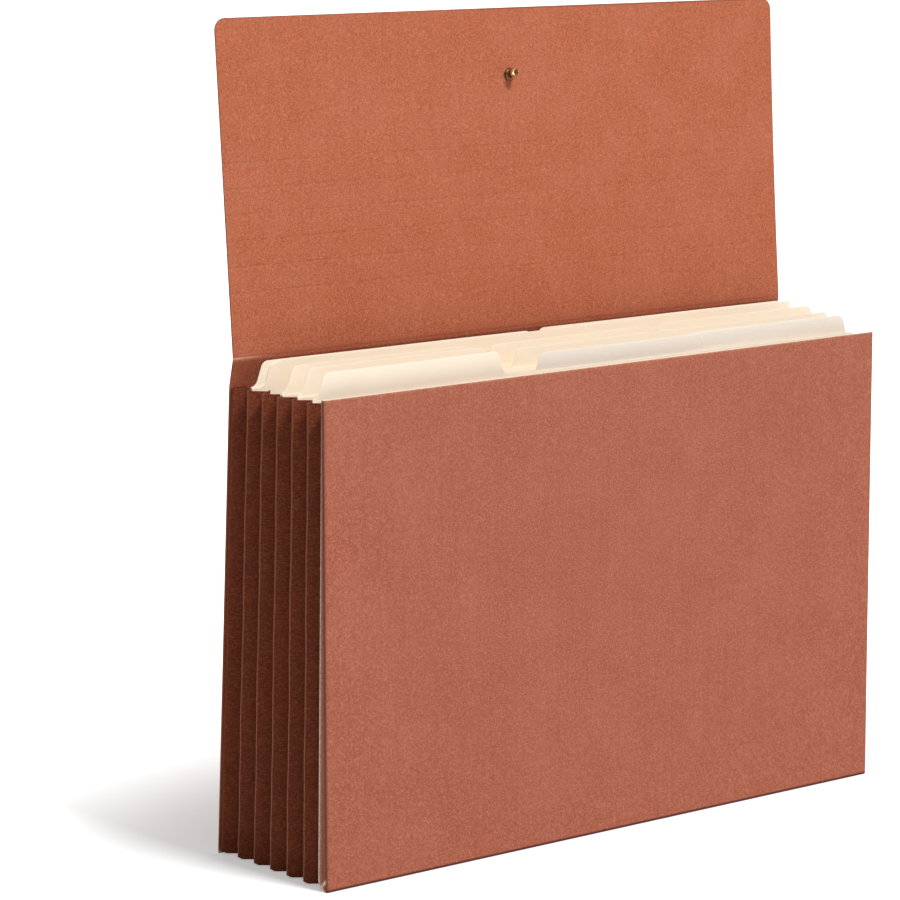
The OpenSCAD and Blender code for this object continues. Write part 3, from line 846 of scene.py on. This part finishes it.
def folder_piece(number, sizes, finish):
    """A folder: its line runs down the front leaf, round the bottom and up the back leaf to the tab.

    The leaves part and wave a little towards their free tops, but not at the ends, which the ridge holds.
    The first rear folder's front leaf rises just past the tab's left end and stays up from there on.
    """
    name = f"folder_{number}"
    carrier = CARRIERS[name]
    row = [node for node, body in CARRIERS.items() if node.startswith("folder") and body == carrier]
    place = row.index(name) - (len(row) - 1) / 2
    rear = len(row) == 2
    ridge = int(carrier.split("_")[1])
    first, axis = leaf_fold("left", 2 * ridge)
    second = leaf_fold("left", 2 * ridge + 1)[0]
    foot = np.array([0, (first[1] + second[1]) / 2, 0])
    lateral = behind(axis)
    half = HALF_WIDTH - sizes.folder_inset
    run = tab_run(sizes)
    left, right = tab_top(name)
    slants = [(at, 0.6 * run, 0.5 * MM) for at in (left - run / 2, right + run / 2)]
    x = spread(-half, half, 9 * MM, *slants)
    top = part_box(name)[1][2] / axis[2] - 0.2 * MM + sizes.rear_rise * rear
    body = top - sizes.tab_height
    bottom = 1.1 * MM
    turn = np.linspace(0, np.pi, 7)[1:-1]
    near_edge = np.array([4, 2.2, 1.2, 0.7, 0.3, 0]) * MM
    share = np.append(np.linspace(0, 1, 26)[:-1] ** 0.7, 1 - near_edge / body)[:, None]
    back = body + np.minimum(tab_rise(x - left + run, sizes), tab_rise(right + run - x, sizes))
    front = body - sizes.leaf_drop + 0 * x
    if rear and place < 0:
        front = body - 0.4 * MM + tab_rise(x - left + run - 5 * MM, sizes)
    fold = bottom - sizes.card_gap * np.sin(turn)[:, None] + 0 * x
    heights = np.concatenate([bottom + (front - bottom) * share[::-1], fold,
                              bottom + (back - bottom) * share])
    leaf = np.concatenate([-np.ones(len(share)), -np.cos(turn), np.ones(len(share))])[:, None]
    up = np.clip((heights - bottom) / body, 0, None) ** 2
    loose = up * (1 - 0.85 * np.exp(-(half - abs(x)) / (20 * MM)))
    splay = leaf * (sizes.card_gap + 0.3 * MM * loose)
    long, short, phase = 0.052, 0.023, 2.4 * number
    slack = sizes.folder_slack * loose * (np.sin(x / long + phase) + 0.5 * np.sin(x / short + 2 * phase))
    depth = place * sizes.folder_step * (1 + loose) + splay + slack
    middle = foot + x[:, None] * ACROSS + heights[..., None] * axis + depth[..., None] * lateral
    # Painted highlight: the card is paler within half a millimetre of each leaf's top edge.
    rim = np.exp(-(np.where(leaf > 0, back, front) - heights) / (0.5 * MM))
    piece = sheet_piece(f"{name}_card", middle, sizes.card, finish, {"rim": rim})
    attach(piece, CARRIERS[name])
    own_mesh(piece)
    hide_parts(name)


def turned_piece(name, profile, centre, axis, finish, ring=False):
    """A turned part: a profile of (distance along the axis, radius, lift, dull and painted shade) carried round
    it.

    The lift moves a ring of points up the flap. A ring's profile closes on itself, and any other is closed
    by a point at each end.
    """
    steps = 48
    other = np.cross(axis, ACROSS)
    angle = np.linspace(0, 2 * np.pi, steps, endpoint=False)
    circle = np.cos(angle)[:, None] * ACROSS + np.sin(angle)[:, None] * other
    along, radius, lift, dull = profile.T
    spine = centre + along[:, None] * axis + lift[:, None] * other
    points = (spine[:, None] + radius[:, None, None] * circle).reshape(-1, 3)
    index = np.arange(len(points)).reshape(len(profile), steps)
    if ring:
        index = np.concatenate([index, index[:1]])
    after = np.roll(index, -1, axis=1)
    faces = np.stack([index[:-1], after[:-1], after[1:], index[1:]], -1).reshape(-1, 4).tolist()
    marks = np.repeat(dull, steps)
    if not ring:
        first, last = len(points), len(points) + 1
        points = np.concatenate([points, spine[[0, -1]]])
        marks = np.append(marks, dull[[0, -1]])
        faces += np.stack([np.full(steps, first), after[0], index[0]], -1).tolist()
        faces += np.stack([np.full(steps, last), index[-1], after[-1]], -1).tolist()
    piece = make_piece(name, points, faces, finish, {"dull": marks})
    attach(piece, "tip")
    return piece


def eyelet_profile(sizes):
    """The eyelet's closed section: two rolled flanges, one on each face of the board, on a thin barrel."""
    board, lip, flange = sizes.board / 2, sizes.lip, sizes.flange - sizes.lip / 2
    turn = np.linspace(0, np.pi, 9)
    rolled = np.stack([board + lip / 2 - lip / 2 * np.cos(turn), flange + lip / 2 * np.sin(turn)], -1)
    half = np.concatenate([[[board, sizes.eyelet_hole - GAP]], rolled,
                           [[board + lip, sizes.bore + 0.2 * MM], [board + 0.7 * lip, sizes.bore]]])
    loop = np.concatenate([half[::-1] * np.array([-1, 1]), half])
    # The whole eyelet is dulled and darkened: a painted reflection of the red board.
    return np.column_stack([loop, np.zeros(len(loop)), np.full(len(loop), 0.95)])


def ferrule_profile(sizes):
    """The ferrule's section: shank, collar, neck, ball and hollow end. Past the neck it leans up."""
    ball, neck, collar, cup = sizes.ball, sizes.ferrule_neck, sizes.collar, sizes.cup
    seat = sizes.board / 2 + sizes.lip
    shank = sizes.bore - GAP
    stem = np.array([
        [-seat, 0.1 * MM], [-seat, shank - 0.2 * MM], [0.2 * MM - seat, shank], [seat, shank],
        [seat + 0.02 * MM, collar - 0.1 * MM], [seat + 0.12 * MM, collar],
        [seat + 0.38 * MM, collar], [seat + 0.5 * MM, collar - 0.15 * MM],
        [seat + 0.55 * MM, neck + 0.15 * MM], [seat + 0.7 * MM, neck],
    ])
    sweep = np.linspace(np.pi - np.arcsin(neck / ball), np.arcsin(cup / ball), 24)
    round_part = np.stack([sizes.ball_rise + ball * np.cos(sweep), ball * np.sin(sweep)], -1)
    face = round_part[-1, 0]
    dip = np.linspace(0, np.pi / 2, 9)[1:-1]
    hollow = np.stack([face - 0.55 * cup * np.sin(dip), (cup - 0.12 * MM) * np.cos(dip) + 0.02 * MM], -1)
    section = np.concatenate([stem, round_part, hollow])
    lift = tan(sizes.ball_lean) * np.maximum(section[:, 0] - stem[-1, 0], 0)
    # Painted shade on the back of the ball and in the hollow end; the collar and stem are darkened as a painted
    # reflection of the board.
    shaded = 0.8 * smooth((sweep - 1.4) / 0.7)
    dull = np.concatenate([np.full(len(stem), 0.9), shaded, np.ones(len(hollow))])
    return np.column_stack([section, lift, dull])


def cord_fitting(sizes, finish):
    """The eyelet and the ferrule, turned about a line square to the flap's tip."""
    line = BoardLine(sizes)
    centre = np.array(line.point(line.top - sizes.eyelet_drop))
    rise = unit(np.array(line.point(line.top)) - np.array(line.point(line.folds[1])))
    front = np.array([0, -rise[2], rise[1]])
    eyelet = turned_piece("cord_eyelet_brass", eyelet_profile(sizes), centre, front, finish, ring=True)
    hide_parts("cord_eyelet")
    ferrule = turned_piece("cord_ferrule_brass", ferrule_profile(sizes), centre, front, finish)
    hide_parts("cord_ferrule")


class WALLET_OT_board(bpy.types.Operator):
    """Builds the front, the back and the flap"""

    bl_idname = "wallet.board"
    bl_label = "Build Board"

    def execute(self, context):
        sizes, colours = context.scene.wallet_sizes, context.scene.wallet_colours
        front = board_finish("front_board", colours.front, colours)
        flap = board_finish("flap_board", colours.flap, colours)
        front_sheet(sizes, front)
        bottom_hem(sizes, front)
        flap_board(sizes, flap)
        return {"FINISHED"}


class WALLET_OT_gusset(bpy.types.Operator):
    """Builds the pleated gusset"""

    bl_idname = "wallet.gusset"
    bl_label = "Build Gusset"

    def execute(self, context):
        sizes = context.scene.wallet_sizes
        cloth = gusset_finish(context.scene.wallet_colours)
        for number in range(1, 2 * PLEATS + 1):
            side_pleat("left", number, sizes, cloth)
            side_pleat("right", number, sizes, cloth)
            bottom_pleat(number, sizes, cloth)
        for side in INWARD:
            end_strip(side, sizes, cloth)
        return {"FINISHED"}


class WALLET_OT_folders(bpy.types.Operator):
    """Builds the tabbed folders"""

    bl_idname = "wallet.folders"
    bl_label = "Build Folders"

    def execute(self, context):
        colours = context.scene.wallet_colours
        warm = card_finish("folder_card", colours.folder, colours)
        pale = card_finish("folder_card_pale", colours.folder_pale, colours)
        pale_folders = (2, 3)
        count = sum(node.startswith("folder") for node in CARRIERS)
        for number in range(1, count + 1):
            folder_piece(number, context.scene.wallet_sizes, pale if number in pale_folders else warm)
        return {"FINISHED"}


class WALLET_OT_fitting(bpy.types.Operator):
    """Builds the brass eyelet and ferrule"""

    bl_idname = "wallet.fitting"
    bl_label = "Build Cord Fitting"

    def execute(self, context):
        cord_fitting(context.scene.wallet_sizes, brass_finish(context.scene.wallet_colours))
        return {"FINISHED"}


def key_lamp(studio):
    """A square soft lamp, turned to face the upper half of the wallet."""
    data = bpy.data.lights.new("key_lamp", "AREA")
    data.shape = "SQUARE"
    data.size = studio.key_size
    data.energy = studio.key_power
    lamp = bpy.data.objects.new("key_lamp", data)
    lamp.location = studio.key_place
    target = np.array([0, 0, 0.2])
    direction = target - np.array(studio.key_place)
    flat = float(np.hypot(direction[0], direction[1]))
    lamp.rotation_euler = (atan2(flat, -direction[2]), 0, atan2(direction[1], direction[0]) - np.pi / 2)
    bpy.context.scene.collection.objects.link(lamp)


def seen_directly(finish):
    """1 where the camera, a reflection or a clear material looks, and 0 for light that falls on a piece."""
    kinds = ("Is Camera Ray", "Is Glossy Ray", "Is Transmission Ray")
    camera, glossy, clear = (finish.node("ShaderNodeLightPath", output=kind) for kind in kinds)
    return finish.limited(camera + glossy + clear)


def studio_surroundings(sky):
    """White surroundings that light the object at the sky's strength."""
    finish = Finish(bpy.data.worlds.new("studio_surroundings"))
    seen = seen_directly(finish)
    strength = seen + (1 - seen) * sky
    back = finish.node("ShaderNodeBackground", {"Color": (1, 1, 1, 1), "Strength": strength})
    finish.node("ShaderNodeOutputWorld", {"Surface": back})
    return finish.owner


def studio_floor(colours, studio):
    """A wide flat floor that glows a little for the camera: shadowed at the foot, and white beyond."""
    finish = Finish(bpy.data.materials.new("studio_floor"))
    matte = finish.node("ShaderNodeBsdfDiffuse", {"Color": (*colours.floor, 1.0)})
    wide, deep = studio.shadow_reach
    shrunk = finish.stretched(finish.place(), (1 / wide, 1 / deep, 1.0))
    distance = finish.node("ShaderNodeVectorMath", {0: shrunk}, "Value", operation="LENGTH")
    lift = studio.floor_lift + (1 - studio.floor_lift) * finish.ramp(distance, 0.56, 1.43)
    glow = finish.node("ShaderNodeEmission", {"Strength": seen_directly(finish) * lift})
    both = finish.node("ShaderNodeAddShader", {0: matte, 1: glow})
    finish.node("ShaderNodeOutputMaterial", {"Surface": both})
    reach = 12.0
    corners = [(-reach, -reach, 0), (reach, -reach, 0), (reach, reach, 0), (-reach, reach, 0)]
    mesh = bpy.data.meshes.new("studio_floor")
    mesh.from_pydata(corners, [], [(0, 1, 2, 3)])
    mesh.materials.append(finish.owner)
    floor = bpy.data.objects.new("studio_floor", mesh)
    bpy.context.scene.collection.objects.link(floor)


class WALLET_OT_studio(bpy.types.Operator):
    """Builds the floor, the surroundings, the lamp and the camera"""

    bl_idname = "wallet.studio"
    bl_label = "Build Studio"

    def execute(self, context):
        scene, studio = context.scene, context.scene.wallet_studio
        scene.view_settings.view_transform = "Standard"
        data = bpy.data.cameras.new("studio_camera")
        data.lens = studio.camera_lens
        data.sensor_width = 36.0
        camera = bpy.data.objects.new("studio_camera", data)
        camera.location = studio.camera_place
        camera.rotation_euler = studio.camera_turn
        scene.collection.objects.link(camera)
        scene.camera = camera
        key_lamp(studio)
        scene.world = studio_surroundings(studio.sky)
        studio_floor(scene.wallet_colours, studio)
        return {"FINISHED"}


class WALLET_PT_build(bpy.types.Panel):
    """Lists the wallet's build steps, sizes and colours"""

    bl_label = "File Wallet"
    bl_space_type = "VIEW_3D"
    bl_region_type = "UI"
    bl_category = "Wallet"

    def draw(self, context):
        for operator in OPERATORS:
            self.layout.operator(operator.bl_idname)
        for name, group in GROUPS.items():
            box = self.layout.box()
            for key in group.__annotations__:
                box.prop(getattr(context.scene, name), key)


GROUPS = {"wallet_sizes": WalletSizes, "wallet_colours": WalletColours, "wallet_studio": WalletStudio}
OPERATORS = (WALLET_OT_board, WALLET_OT_gusset, WALLET_OT_folders, WALLET_OT_fitting, WALLET_OT_studio)


def register():
    for kind in (*GROUPS.values(), *OPERATORS, WALLET_PT_build):
        bpy.utils.register_class(kind)
    for name, group in GROUPS.items():
        setattr(bpy.types.Scene, name, PointerProperty(type=group))


def unregister():
    for name in GROUPS:
        delattr(bpy.types.Scene, name)
    for kind in (WALLET_PT_build, *reversed(OPERATORS), *reversed(GROUPS.values())):
        bpy.utils.unregister_class(kind)


def main():
    """Registers the add-on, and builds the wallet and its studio."""
    register()
    bpy.ops.wallet.board()
    bpy.ops.wallet.gusset()
    bpy.ops.wallet.folders()
    bpy.ops.wallet.fitting()
    bpy.ops.wallet.studio()


if __name__ == "__main__":
    main()
